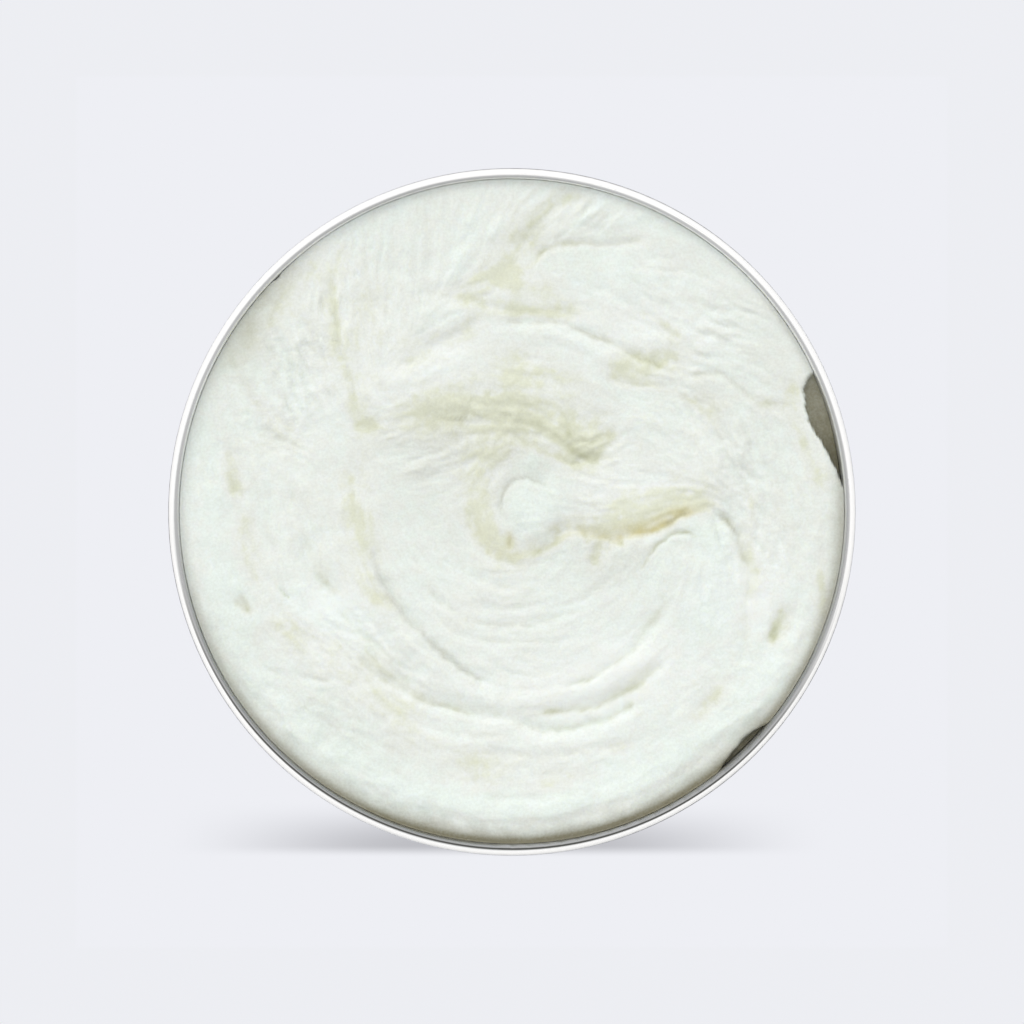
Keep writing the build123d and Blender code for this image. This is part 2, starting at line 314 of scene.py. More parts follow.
UPPER_VALLEY = [
    (-0.55, 2, 1.5, 0.2, 0.06, [-14.6, 10.2, -12, 11, -8, 11, -4, 10.6, 0, 9.9]),
    (-0.6, 1.9, 1.2, 0.2, 0.06, [0, 9.9, 3, 9.2, 5.4, 8, 7, 6.8, 8.6, 5.8]),
    (-0.2, 1.4, 1.2, 0.2, 0.02, [-9, 13.2, -4.4, 13, -0.4, 12.6, 3.4, 11.4, 5, 9.6]),
    (-0.38, 0.9, 0.8, 0.6, 0.24, [6.2, 12.6, 6.6, 9.2, 7.4, 6.8, 8.8, 5.9, 10.2, 6.5, 11.3, 8.4,
        12, 10.4]),
    (0.35, 0.5, 0.5, 0.45, 0, [8, 7.6, 9.2, 7.5, 10.4, 8.2]),
    (0.3, 0.4, 0.4, 0.35, 0, [7.8, 8.8, 9, 8.8, 10, 9.6]),
    (-0.25, 0.3, 0.3, 0.4, 0.25, [7.8, 8.2, 9.2, 8.15, 10.6, 8.9]),
    (0.22, 0.6, 0.6, 0.3, 0, [-1.4, 14.4, 1.5, 13.8, 4.5, 13.6, 6.6, 13.2]),
    (-0.2, 0.6, 0.6, 0.75, 0.15, [-1.5, 16.6, 1.6, 15.7, 5, 15.6]),
    (-0.2, 0.9, 0.9, 0.4, 0.05, [-3, 18.2, 0.8, 18, 3, 17.4]),
    (0.35, 1.2, 1.2, -0.1, 0, [-15.5, 14.4, -12, 15.8, -8, 17, -4.4, 18.6]),
    (-0.38, 0.7, 1, 0.3, 0.12, [-13.6, 16.6, -11, 18.2, -9, 19.4, -6.5, 20.6, -4.6, 22, -3.4, 23.4]),
    (-0.55, 0.9, 0.8, 0.75, 0.28, [-8.4, 25.1, -5, 24.9, -2.6, 24, 0, 23.6, 4, 23.4, 8.2, 23.2]),
    (-0.55, 0.55, 0.35, 0.15, 0.36, [-1.4, 22.2, 2, 22.1, 5, 22.1, 7.6, 21.3, 10, 20.4, 12.6, 19.4]),
    (-0.6, 0.6, 0.45, 0.3, 0.42, [12.6, 19.4, 15, 18.1, 16.6, 17.4, 18.4, 16.7]),
    (0.3, 0.9, 0.9, -0.1, 0, [0, 21, 4, 20.9, 8, 19.6, 12, 17.6]),
]

UPPER_RIGHT = [
    (-0.35, 0.9, 0.8, 0.4, 0.12, [15.6, 17.9, 18, 18, 19.4, 17.3, 21.4, 16.2]),
    (-0.5, 0.6, 0.45, 0.35, 0.16, [10.6, 16.2, 13, 15.2, 16, 14.8, 19.4, 14.5]),
    (-0.2, 0.9, 0.9, 0.55, 0.15, [11, 17, 14.4, 16.4, 18, 16.2]),
    (-0.22, 0.6, 0.6, 0.6, 0.2, [17, 22.4, 18.4, 21.1, 19.8, 19.9]),
    (-0.55, 0.45, 0.7, 0.15, 0.32, [20.6, 16.1, 24, 16.3, 25.8, 15.2, 27.3, 13.8, 28.7, 12.9]),
    (-0.28, 0.5, 0.7, 0.3, 0.18, [28.7, 12.9, 31, 12.4, 33, 12.2]),
    (-0.22, 0.4, 0.4, 0.2, 0.2, [19.4, 14.4, 20.6, 13.2, 22, 12.4]),
    (-0.3, 0.5, 0.4, 0, 0.15, [27.2, 11, 27.8, 8.6, 29, 6.4]),
    (-0.25, 0.5, 0.4, 0, 0.15, [23, 9.6, 24, 7.4, 25.4, 5.2, 28, 2.8]),
    (-0.3, 0.35, 0.35, 0, 0.18, [20.3, 25, 22, 24.6, 23.6, 23.7]),
    (-0.28, 0.3, 0.35, 0, 0.15, [12.3, 24.6, 15, 23.9, 17.2, 22.5]),
    (-0.25, 0.3, 0.35, 0, 0.12, [12.8, 23.4, 15.4, 22, 18, 20.2]),
    (-0.25, 0.3, 0.35, 0, 0.12, [24.4, 22.6, 26.8, 21.8]),
    (-0.26, 0.3, 0.35, 0, 0.14, [24.2, 20, 27.2, 19]),
    (-0.22, 0.3, 0.3, 0, 0.1, [15.4, 29.6, 19.6, 29.8]),
    (-0.22, 0.3, 0.3, 0, 0.12, [16, 28.4, 20.6, 28.2, 24, 26.8]),
    (-0.22, 0.4, 0.4, 0.1, 0.1, [9.8, 26.4, 12, 25.4]),
    (0.2, 0.8, 0.8, 0, 0, [25, 13.4, 27, 10.6, 29.4, 7.6, 31.6, 4]),
    (-0.5, 1.7, 1.5, 0.5, 0.05, [-2.2, 25.6, -0.6, 28.4, 2.1, 32.6, 4.6, 35.4, 7.4, 38]),
    (-0.1, 1.3, 1.3, 0.55, 0, [-5.6, 26.4, -1, 27.6, 2.6, 26.4, 6, 25.4]),
    (0.45, 0.4, 0.5, -0.1, 0, [6.8, 33.2, 9, 35, 11.2, 36.9]),
    (0.36, 0.7, 0.7, -0.2, 0, [11.6, 33.5, 14.4, 34.3, 16.2, 35.4]),
    (-0.2, 0.8, 0.7, 0.45, 0.05, [7, 35.4, 8.2, 37.6]),
    (-0.65, 0.55, 0.3, 0.4, 0.32, [2.2, 29, 3.4, 30, 5, 31, 7.2, 31.5, 10, 31.3, 12.5, 31.4, 15.4, 32]),
    (-0.15, 0.7, 0.7, 0.45, 0.05, [33.2, 16, 32.9, 12, 33.8, 9, 35.4, 5.5, 36.4, 2]),
    (-0.05, 0.5, 0.5, 0.55, 0.08, [35.8, -6.5, 36.3, -10, 35.6, -14]),
]

LIP = [
    (0.55, 1.7, 0.9, -0.3, 0, [-35.4, -6, -34.2, -12, -31, -18.4, -27.2, -23.6, -22.8, -27.8]),
    (0.7, 1.8, 1, -0.4, 0, [-22.8, -27.8, -17, -31.2, -10, -33.8, -3, -35.2, 4, -35.2, 10, -34]),
    (0.65, 1.8, 0.9, -0.35, 0, [10, -34, 15, -32.2, 20, -28.6, 24, -25.8, 29, -22, 32.4, -17]),
    (0.3, 1.5, 0.8, -0.1, 0, [32.4, -17, 34.6, -12, 35.6, -5, 35.6, 2]),
]

# Mounds and pits: rise, x, y, half length, half width, degrees, ivory, olive
MOUNDS = [
    (0.85, 2.4, 0.6, 3.9, 3.5, 20, -0.3, 0), (0.35, 4.6, -0.6, 2.2, 2, 0, -0.1, 0),
    (0.6, 10.6, 27.4, 8, 3, -4, -0.2, 0), (0.4, -8.5, 23, 4.5, 1.7, 12, -0.2, 0),
    (0.35, 22, 5.5, 5.5, 3.2, 20, -0.05, 0), (0.35, 16, 10.5, 5.5, 2.6, 0, -0.05, 0),
    (0.4, 19.6, -8, 2.8, 5, -10, 0, 0), (0.3, 33, -4, 2, 7, 0, 0, 0),
    (-0.4, -7.4, 11, 2.3, 0.9, 3, 0.1, 0.03), (-0.45, -16.9, 10.4, 1.6, 1.1, 20, 0.42, 0.3),
    (-0.2, 0, 12.2, 8.5, 2.4, -8, 0.1, 0), (-0.6, -31.4, -10.9, 1.2, 0.8, -42, 0.45, 0.42),
    (-1, 31.4, -13.3, 2.4, 1.15, 62, 0.7, 0.34), (-0.4, 30.6, -14.4, 1.1, 0.7, 62, 0.3, 0.28),
    (-0.25, 22.6, -22.8, 2.4, 1.1, 48, 0.45, 0.06), (-0.15, 24.2, -20.6, 1.8, 1, 60, 0.5, 0.05),
    (-0.2, -14.8, -10.4, 1.5, 0.9, -20, 0.4, 0.02), (-0.2, 12.4, -27.6, 1.8, 0.9, 0, 0.5, 0),
    (-0.15, -3.5, -30.5, 3.5, 2.2, 0, 0.45, 0), (-0.15, 5, -31.3, 3, 1.2, 8, 0.45, 0),
    (-0.2, -17, 24, 2.4, 2, 0, 0.15, 0), (-0.2, 22.4, 12, 2, 2.6, 0, 0.4, 0.18),
    (-0.25, 9.9, 10.8, 1.6, 0.9, 40, 0.3, 0.1), (-0.12, 2, 17.5, 3.5, 1.6, 0, 0.35, 0),
]

# Stains without a shape of their own, and painted shade along creases and grooves in the dark layer: layer,
# amount, width on the left, on the right, points
STAINS = [
    ("amber", 0.62, 1.15, 0.35, [11, -3, 13, -2.8, 15, -2.4, 17, -1.8, 18.8, -0.9, 20.3, -0.2,
        22.4, 0.3]),
    ("amber", 0.22, 0.8, 0.5, [4.4, -3.4, 6.4, -2.3, 8.2, -2.5, 10, -2.7, 12, -3.2, 14, -2.5]),
    ("amber", 0.2, 0.4, 0.4, [0.1, -2, -0.1, -3.3, -0.6, -4.6]),
    ("olive", 0.16, 1.2, 1.2, [2.2, -3.4, 4.2, -2.7, 6.2, -1.6]),
    ("olive", 0.09, 0.9, 1, [-4.4, -2.6, -2.6, -4.4, -0.2, -4.9, 2.2, -4.5, 4.6, -3.4, 6.2, -2.2]),
    ("amber", 0.1, 0.8, 0.6, [-5, -0.6, -4.4, -1.8, -2.6, -4.2, -0.4, -5, 2, -4.9]),
    ("amber", 0.06, 0.9, 0.7, [-16.6, -9.6, -13.6, -11]),
    ("ivory", 0.66, 2.8, 1.2, [9, -1.7, 12, -1.2, 15, -0.7, 18, 0.1, 21, 1, 24.6, 0.8]),
    ("ivory", 0.56, 1.8, 2.6, [0.6, 9.4, -1.8, 7.4, -3.2, 5, -3.5, 2, -3, -0.8, -1.2, -4]),
    ("ivory", 0.58, 3.1, 3, [-16, 10.6, -8, 12.2, -2, 12, 4, 10.4, 10, 8.6, 16, 7.2]),
    ("olive", 0.13, 2.8, 2.6, [-14.6, 10, -9.6, 10.9, -5, 10.4, -1, 10.2, 3, 10, 5, 9.4]),
    ("olive", 0.24, 1.6, 1.6, [0, 11, 4, 9.4, 8, 7, 11, 7, 12.4, 10]),
    ("olive", 0.12, 1.3, 1.1, [-5, 13.6, 0, 13.4, 4, 12.4, 7, 11, 9, 9]),
    ("ivory", 0.14, 6.5, 6, [-30, 20, -20, 22, -10, 20, 0, 20, 8, 22]),
    ("ivory", 0.14, 1.8, 1.8, [-19, 19, -17, 24, -18, 31]),
    ("ivory", 0.25, 2.4, 2.4, [-30, 18, -26, 26]),
    ("olive", 0.32, 2.6, 2.6, [-34.5, 15, -32, 19.5, -29.4, 23.6, -26.4, 27.4]),
    ("ivory", 0.24, 1.1, 1.1, [-20.6, 20, -19.6, 15, -17.2, 10.6]),
    ("ivory", 0.24, 2.2, 2.2, [-21, 28, -20, 20, -18, 13, -17.2, 9, -18, 3, -17.8, -3, -16.4, -8,
        -14.2, -11.4]),
    ("ivory", 0.22, 2.4, 2.4, [-30, -11, -24, -16, -18, -20, -12, -24, -4, -28, 6, -30]),
    ("ivory", 0.45, 1.4, 1.4, [-2, 15.4, 2, 15.8, 6, 15.6, 10, 14.4]),
    ("ivory", 0.3, 1.6, 1.6, [10, 17, 15, 17.6, 20, 17, 23, 15]),
    ("olive", 0.14, 1, 1, [15.6, 18, 18.4, 18, 21, 16.6]),
    ("olive", 0.12, 2.4, 1.6, [0.4, 30.4, 3.6, 34.6, 7.6, 38.6]),
    ("olive", 0.12, 1.9, 1.7, [-1.6, 26.4, 2.1, 32.6, 5, 35.8, 9, 39]),
    ("olive", 0.12, 1, 1, [20.6, -25, 22.6, -23, 24.4, -20.6]),
    # Painted shade along the dome's edge, the arch, the crease, the lobe's edge and the left groove
    ("dark", 0.22, 0.3, 0.22, [-1.3, -0.8, -1.15, 2, -0.3, 3.5, 1, 3.95, 2.5, 3.8, 4.4, 3]),
    ("dark", 0.11, 0.7, 0.45, [-2.6, 22.2, 2, 22.1, 5, 22.1, 7.6, 21.3, 10, 20.4, 13.6, 19]),
    ("dark", 0.34, 0.28, 0.24, [17.6, -1.7, 19.2, -0.8, 20.8, 0]),
    ("dark", 0.25, 0.3, 0.25, [23.6, 0.1, 25.2, -1, 26.1, -2.2, 26.7, -4.4]),
    ("dark", 0.2, 0.45, 0.35, [-17, -4, -14.6, -9.4, -11, -14, -7, -17.6, -3.2, -20.6]),
]

# Fields of short scratches: how many, x, y, half length, half width, degrees of the field, of its scratches
SCRATCHES = [
    (34, -25, 16.8, 5.4, 2.8, 108, -64), (14, -20.8, 22, 4.5, 1.4, 95, -80),
    (26, 24.5, 8, 6.5, 2.2, -62, -50), (18, 29.5, -3, 6, 1.8, -80, -62), (26, 21, 23, 6.5, 3.5, -30, -24),
    (12, 9.5, 7.4, 2.6, 1.8, 0, 25), (22, -3, 10.6, 8, 1.9, -8, -12), (12, 8, 34.5, 5, 1.8, 20, 42),
    (16, -19, -15, 7, 2.6, -42, -44),
]

# Painted shade where the amount is above 0 and painted light where it is below, over broad places, with
# some of the soap's own greyer tone: amount, x, y, half length, half width, degrees
TONES = [
    # the middle: the dome, the crescent and the crease
    (0.075, -1, 3, 9, 7, 0), (0.115, -7.7, 9.4, 6.8, 3.4, 0), (0.06, 7, 7, 6, 6, 0),
    (0.03, 3, 6.6, 7, 2, -12), (-0.055, 2.4, 0.6, 3, 3, 0), (-0.06, -3.2, 2.6, 2, 4.6, 0),
    (0.03, 4, 4, 2, 2, 0), (-0.03, -6, 5, 2, 2, 0), (-0.095, 5.5, 10.2, 3.4, 2.7, 0),
    (-0.07, 8.4, 3.9, 4.4, 3.6, 0), (-0.065, 14, 1.8, 5.8, 3.4, 0), (0.05, 10, -3.6, 7, 4, 0),
    (0.04, 20, -1.8, 5, 3, 0), (-0.03, 18, 1.2, 5, 1.8, 10), (-0.06, 5, -1.9, 1.6, 1.2, 30),
    (-0.06, 7.1, -2.4, 0.45, 1.1, 0), (0.055, 11.5, -6, 5, 2.6, 0),
    # above
    (-0.045, -10, 16.5, 9, 5, 10), (0.035, 12, 14, 9, 3, 0), (0.06, 21, 14.5, 4.6, 2.5, 0),
    (-0.065, 13.5, 20.5, 8, 4, -15), (-0.03, 5, 24, 3, 3, 0), (0.03, -5, 24, 4, 3, 0),
    (0.07, 7.5, 31, 7, 3.2, 0), (-0.03, 5, 36, 8, 2, 0), (0.035, -14.5, 30, 5.4, 4, 0),
    (-0.03, -20, 30, 3, 3, 0),
    # left
    (0.055, -12, 3, 4, 5, 0), (0.03, -15, 9, 5, 3, 0), (-0.05, -17.6, 15.5, 4, 1.2, -72),
    (0.03, -32, 5, 3, 6, 0), (0.075, -30.5, 19.2, 3.6, 5, 20), (0.045, -32, -14.6, 4, 6, 20),
    (-0.085, -21, -12.5, 5.6, 4.6, -40),
    # right
    (0.045, 28, 10, 5, 6, 0), (0.04, 32, 1, 4, 5.5, 0), (0.03, 25, 0, 3, 3, 0),
    (-0.09, 28, -9.4, 4, 5, 0), (0.07, 29.5, 19, 3.5, 3.5, 0),
    # below
    (-0.13, 11.5, -20.2, 8, 4.4, 24), (-0.035, 0, -20, 10, 4, 0), (0.05, -15, -29, 6.6, 3, -20),
    (0.065, -22, -24.4, 5, 4, -40), (0.05, 22.5, -27.4, 7, 3, 38), (-0.02, 0, -29, 14, 3, 0),
    (0.03, 1, -35.2, 9, 1.5, 0),
]

# Rolled-over edge against the metal: degrees round from +X, width, drop, shade (mm, mm, and painted shade
# towards the metal up to 1; below 0 it paints light there instead)
EDGE = [
    (0, 2.4, -0.35, 0.36), (25, 0.9, -0.4, 0.14), (36, 0.8, -0.45, 0.12), (47, 0.9, -0.6, -0.02),
    (60, 0.9, -0.75, -0.08), (112, 0.9, -0.75, -0.08), (124, 1.2, -0.6, -0.04), (133, 2.4, -0.35, 0.2),
    (142, 2.8, -0.35, 0.2), (152, 2.4, -0.35, 0.15), (165, 1.8, -0.45, 0.08), (180, 1.2, -0.55, 0.04),
    (195, 1.6, -0.3, 0.22), (210, 2, -0.2, 0.36), (225, 2.3, -0.05, 0.44), (240, 2.6, 0.1, 0.56),
    (255, 2.7, 0.2, 0.68), (270, 2.4, 0.2, 0.72), (290, 2.2, 0.2, 0.74), (303, 2.8, 0.2, 0.66),
    (316, 2.6, 0.1, 0.6), (326, 1.9, 0, 0.5), (338, 1.5, -0.1, 0.46), (350, 2, -0.3, 0.38),
]

# Where the soap has come away from the metal: degrees, how far, how deep (mm)
POCKETS = [
    (3.6, 0, 2.6), (5, 0.25, 2.6), (7.4, 0.62, 2.5), (9.6, 1.1, 2.3), (12, 1.65, 2), (14.2, 2.35, 1.7),
    (16.6, 2.6, 1.5), (18.8, 2.6, 1.3), (20.8, 2.25, 1.2), (22.4, 1.9, 1.2), (23.5, 1.5, 1.1),
    (24.3, 0.95, 1), (24.9, 0, 1), (133.4, 0, 1), (134.6, 0.3, 1), (135.6, 0.26, 1), (136.6, 0, 1),
    (308, 0, 1.8), (310.5, 0.5, 1.8), (313, 0.85, 1.8), (315.5, 1, 1.8), (317.6, 0.85, 1.8),
    (319.4, 0.4, 1.8), (321, 0, 1.8),
]

# Where the drag marks stand out: x, y, half length, half width, how much more
COMB_ZONES = [
    (-25, 15, 5, 8, 2), (22, 21, 8, 5, 1.5), (24, 8, 5, 7, 1.4), (27, 0, 5, 8, 1.1), (11, 2, 4, 3, 0.6),
    (-22, -14, 9, 7, 0.6), (-14, -18, 8, 6, 0.6), (8, 35, 9, 4, 0.9), (-22, -23, 9, 3, 0.5),
    (0, 11, 10, 4, 1.3), (-6, 10, 7, 2.5, 0.8), (-8, 7, 6, 3, 1.2), (-14, 27, 8, 8, 1.3),
    (2, -9, 9, 6, 0.5), (-32, 8, 3, 8, 0.5),
]

# Lines that only steer the fine drag marks
COMBED = [
    [-19, 21, -18.8, 34], [-14, 22, -13.6, 37], [-9.5, 26, -8.8, 38], [-23, 24, -22.5, 31],
    [-28, 22, -24, 10], [-24, 23, -20.8, 13], [-31, 18, -28, 9], [10, 26, 18, 25.4, 27, 22],
    [14, 30, 20, 29.6, 26, 26.6], [12, 22, 20, 19.6, 27, 18.6], [23, -2, 23.2, -8, 22.4, -15],
    [20.6, -5, 20, -12], [5, 33, 12, 38], [-4, 30, -1, 37], [-33, -3, -30, -13, -24, -21],
    [33, 8, 34.5, -4, 31, -18], [29, 12, 31, 2, 30, -10], [-15, -26, -4, -31, 8, -30], [12, -29, 22, -24],
]

DRAG_CENTRE = (1.0, -2.0)
DRAG_LIMIT = 40.0
DRAG_CELL = 0.8
GRID = 280
RELIEF = 0.55  # how boldly the strokes stand up
# Painted shade over the whole soap, which negative tones and edges take away as painted light
BASE_SHADE = 0.085


def stroke_lists():
    return CENTRE + MAIN_CREASE + LOWER_ARCS + LEFT_SIDE + UPPER_LEFT + UPPER_VALLEY + UPPER_RIGHT + LIP


def wobbled(x, y):
    """Places shifted a little, so that no stroke has a clean edge."""
    wx = 0.14 * cloud(x, y, 2.6, 11) + 0.16 * cloud(x, y, 0.9, 21, 2)
    wy = 0.14 * cloud(x, y, 2.6, 31) + 0.16 * cloud(x, y, 0.9, 41, 2)
    return x + wx, y + wy


def press_strokes(x, y, layers):
    """Adds every stroke's rise, ivory and olive to the layers."""
    for index, (rise, left, right, ivory, olive, points) in enumerate(stroke_lists()):
        reach = 3.2 * max(left, right)
        px, py = np.reshape(points, (-1, 2)).T
        near = (x > px.min() - reach) & (x < px.max() + reach)
        near &= (y > py.min() - reach) & (y < py.max() + reach)
        d, place, length = along(points, x[near], y[near])
        width = np.where(d > 0, left, right)
        taper = min(1.6, 0.3 * length)
        ends = (0.25 + 0.75 * smooth(place, 0, taper)) * (0.25 + 0.75 * smooth(length - place, 0, taper))
        uneven = 1 + 0.25 * noise(place / 1.7, np.full_like(place, index * 7.3), 61)
        power = 1.5 if rise < 0 else 2.0
        shape = np.exp(-((np.abs(d) / width) ** power)) * ends * uneven
        tint = np.exp(-((np.abs(d) / (1.3 * width)) ** 2)) * ends * uneven
        dark = np.exp(-((np.abs(d) / (0.8 * width)) ** 1.5)) * ends * uneven
        layers["rise"][near] += rise * shape
        layers["ivory"][near] += ivory * tint
        layers["olive"][near] += olive * dark


def press_stains(x, y, layers):
    for name, amount, left, right, points in STAINS:
        d, place, length = along(points, x, y)
        width = np.where(d > 0, left, right)
        taper = 0.22 * length
        ends = (0.15 + 0.85 * smooth(place, 0, taper)) * (0.15 + 0.85 * smooth(length - place, 0, taper))
        layers[name] += amount * np.exp(-((np.abs(d) / width) ** 1.7)) * ends


def press_tones(x, y, layers):
    for amount, cx, cy, long, wide, degrees in TONES:
        c, s = cos(radians(degrees)), sin(radians(degrees))
        u, v = ((x - cx) * c + (y - cy) * s) / long, (-(x - cx) * s + (y - cy) * c) / wide
        layers["tone"] += amount * np.exp(-(u * u + v * v))


def press_scratches(x, y, layers):
    """Short, crisp marks, some raised and some cut in, laid at random over each field."""
    random = np.random.RandomState(17)
    for count, cx, cy, long, wide, tilt, lean in SCRATCHES:
        tc, ts = cos(radians(tilt)), sin(radians(tilt))
        for _ in range(count):
            u, v = long * random.uniform(-1, 1), wide * random.uniform(-1, 1)
            px, py = cx + u * tc - v * ts, cy + u * ts + v * tc
            angle = radians(lean + random.uniform(-7, 7))
            half, width = random.uniform(0.7, 1.8), random.uniform(0.22, 0.32)
            rise = random.choice([-1, 1]) * random.uniform(0.12, 0.34)
            c, s = cos(angle), sin(angle)
            near = (np.abs(x - px) < 2 * half) & (np.abs(y - py) < 2 * half)
            dx, dy = x[near] - px, y[near] - py
            run, off = (dx * c + dy * s) / half, (-dx * s + dy * c) / width
            mark = np.exp(-(run**4) - off * off)
            layers["rise"][near] += rise * mark
            # Painted shade in the cut-in scratches and painted light on the raised ones, with olive also
            # painted into the cut-in ones as shade
            layers["dark"][near] -= 0.15 * rise * mark
            layers["olive"][near] += max(0.0, -0.16 * rise) * mark


def press_mounds(x, y, layers):
    for rise, cx, cy, long, wide, degrees, ivory, olive in MOUNDS:
        c, s = cos(radians(degrees)), sin(radians(degrees))
        u, v = ((x - cx) * c + (y - cy) * s) / long, (-(x - cx) * s + (y - cy) * c) / wide
        shape = np.exp(-((u * u + v * v) ** 1.4))
        layers["rise"] += rise * shape
        layers["ivory"] += ivory * shape
        layers["olive"] += olive * shape


def drag_field():
    """Direction of the drag marks on a coarse grid, as the cosine and sine of twice the angle."""
    axis = np.linspace(-DRAG_LIMIT, DRAG_LIMIT, int(2 * DRAG_LIMIT / DRAG_CELL) + 1)
    x, y = np.meshgrid(axis, axis, indexing="ij")
    turn = np.arctan2(y - DRAG_CENTRE[1], x - DRAG_CENTRE[0]) + pi / 2
    c, s = 0.06 * np.cos(2 * turn), 0.06 * np.sin(2 * turn)
    for points in [stroke[-1] for stroke in stroke_lists()] + COMBED:
        line = curve_through(points, 2.5)
        middle = (line[1:] + line[:-1]) / 2
        run = np.diff(line, axis=0)
        angle = 2 * np.arctan2(run[:, 1], run[:, 0])
        length = np.hypot(run[:, 0], run[:, 1])
        for (mx, my), a, size in zip(middle, angle, length):
            pull = size / (1.0 + (x - mx) ** 2 + (y - my) ** 2) ** 1.5
            c += pull * np.cos(a)
            s += pull * np.sin(a)
    size = np.hypot(c, s)
    return c / size, s / size


def sampled(field, x, y):
    """A coarse grid's value between its points."""
    u = np.clip((x + DRAG_LIMIT) / DRAG_CELL, 0, field.shape[0] - 1.001)
    v = np.clip((y + DRAG_LIMIT) / DRAG_CELL, 0, field.shape[1] - 1.001)
    i, j = u.astype(int), v.astype(int)
    f, g = u - i, v - j
    low = field[i, j] * (1 - f) + field[i + 1, j] * f
    high = field[i, j + 1] * (1 - f) + field[i + 1, j + 1] * f
    return low * (1 - g) + high * g


def dragged(x, y, field, cell, reach, seed):
    """Noise smeared along the drag direction: the comb-like marks of soap pressed in by hand."""
    total = np.zeros_like(x)
    count = max(6, int(reach / (0.8 * cell)))
    for sense in (1, -1):
        px, py = x.copy(), y.copy()
        hx, hy = None, None
        for step in range(count):
            total += noise(px / cell, py / cell, seed) * (1 - step / count)
            half = np.arctan2(sampled(field[1], px, py), sampled(field[0], px, py)) / 2
            dx, dy = np.cos(half) * sense, np.sin(half) * sense
            if hx is not None:
                flip = np.where(dx * hx + dy * hy < 0, -1, 1)
                dx, dy = dx * flip, dy * flip
            hx, hy = dx, dy
            px, py = px + dx * reach / count, py + dy * reach / count
    return total / np.sqrt(count)


def round_the_rim(table, x, y):
    """Each column of a table by bearing, at each place's bearing."""
    bearing = np.degrees(np.arctan2(y, x)) % 360
    rows = np.array(table, float)
    rows = np.vstack([rows, rows[0]])
    rows[-1, 0] += 360
    return [np.interp(bearing, rows[:, 0], rows[:, k]) for k in range(1, rows.shape[1])]


def comb_strength(x, y):
    more = np.zeros_like(x)
    for cx, cy, long, wide, extra in COMB_ZONES:
        more += extra * np.exp(-(((x - cx) / long) ** 2 + ((y - cy) / wide) ** 2))
    return 0.75 + np.clip(more, 0, 2.2)


def soap_top(x, y):
    """Height of the soap's top at each place, in mm, and the layers that colour it."""
    field = drag_field()
    hair = dragged(x, y, field, 0.30, 1.5, 71)
    fine = dragged(x, y, field, 0.55, 2.8, 75)
    coarse = dragged(x, y, field, 1.3, 5.0, 81)
    patch = cloud(x, y, 6.0, 91)
    grain = cloud(x, y, 0.75, 101, 2)
    lumps = cloud(x, y, 2.2, 151, 3)
    wx, wy = wobbled(x, y)
    layers = {name: np.zeros_like(x) for name in ("rise", "ivory", "olive", "amber", "dark", "tone")}
    press_strokes(wx, wy, layers)
    press_mounds(wx, wy, layers)
    press_scratches(wx, wy, layers)
    press_stains(wx, wy, layers)
    press_tones(x, y, layers)
    comb = comb_strength(x, y) * (0.6 + 0.4 * smooth(cloud(x, y, 5.0, 111, 2), -0.5, 0.6))
    marks = 0.040 * hair + 0.045 * fine + 0.030 * coarse
    nicks = np.exp(-((fine / 0.28) ** 2)) * smooth(cloud(x, y, 3.0, 161, 2), -0.2, 0.6)
    combed = comb * (marks + 0.030 * grain - 0.06 * nicks)
    rise = RELIEF * layers["rise"] + combed + 0.10 * patch + 0.050 * lumps
    from_wall = NECK_IN_R - np.hypot(x, y)
    width, drop, shade = round_the_rim(EDGE, x, y)
    width = width * (1 + 0.16 * cloud(x, y, 2.0, 121, 3))
    inward = np.clip(from_wall / width, 0, 1)
    roll = drop * (1 - np.sqrt(np.clip(1 - (1 - inward) ** 2, 0, 1)))
    pocket, depth = round_the_rim(POCKETS, x, y)
    pocket = pocket * (1 + 0.10 * cloud(x, y, 1.2, 141, 2))
    torn = smooth(pocket - from_wall, 0, 0.34) * np.minimum(pocket * 2.5, 1)
    z = SOAP_TOP_Z + 0.05 + rise * (0.3 + 0.7 * smooth(inward, 0, 0.9)) - roll
    z = np.minimum(z, rim_z - 0.35) - torn * (depth + 0.12 * grain)
    streak = 1 + 0.22 * fine + 0.18 * coarse + 0.20 * grain + 0.22 * lumps
    ivory = 1.12 * layers["ivory"] * streak + 0.07 * coarse + 0.07 * fine + 0.05 * grain + 0.12 * patch
    glow = np.exp(-(((from_wall - np.maximum(width, pocket) - 0.4) / 0.7) ** 2)) * shade
    olive = 1.1 * layers["olive"] * streak + 0.03 * np.clip(fine + coarse, 0, 9)
    # Painted shade near the metal, over the edge's width and again close to the wall; painted light where
    # the edge's shade is below 0
    close = shade * (1 - smooth(from_wall / width, 0.0, 1.1))
    close = close + 0.5 * shade * (1 - smooth(from_wall, 0.1, 1.2))
    # Painted shade in the pockets where the soap has come away, darker the deeper they are
    dark = np.maximum(close, torn * (0.66 + 0.12 * depth))
    # The shade attribute: painted shade from the base amount, the edge, the pockets, the dark layer and the
    # tones, plus a fine mottle that also paints the drag marks' light and shade, and painted shade in the
    # nicks
    dark = BASE_SHADE + dark + layers["dark"] + layers["tone"]
    dark = dark + 0.012 * (lumps + hair) + comb * (0.010 * hair + 0.012 * fine) + 0.02 * nicks
    dark = np.clip(dark, 0, 1)
    colours = {
        "ivory": np.clip(ivory + 0.5 * glow, -0.6, 1.15),
        "olive": np.clip(olive, 0, 1),
        "amber": np.clip(layers["amber"] * streak, 0, 1),
        "shade": dark,
    }
    return z, colours


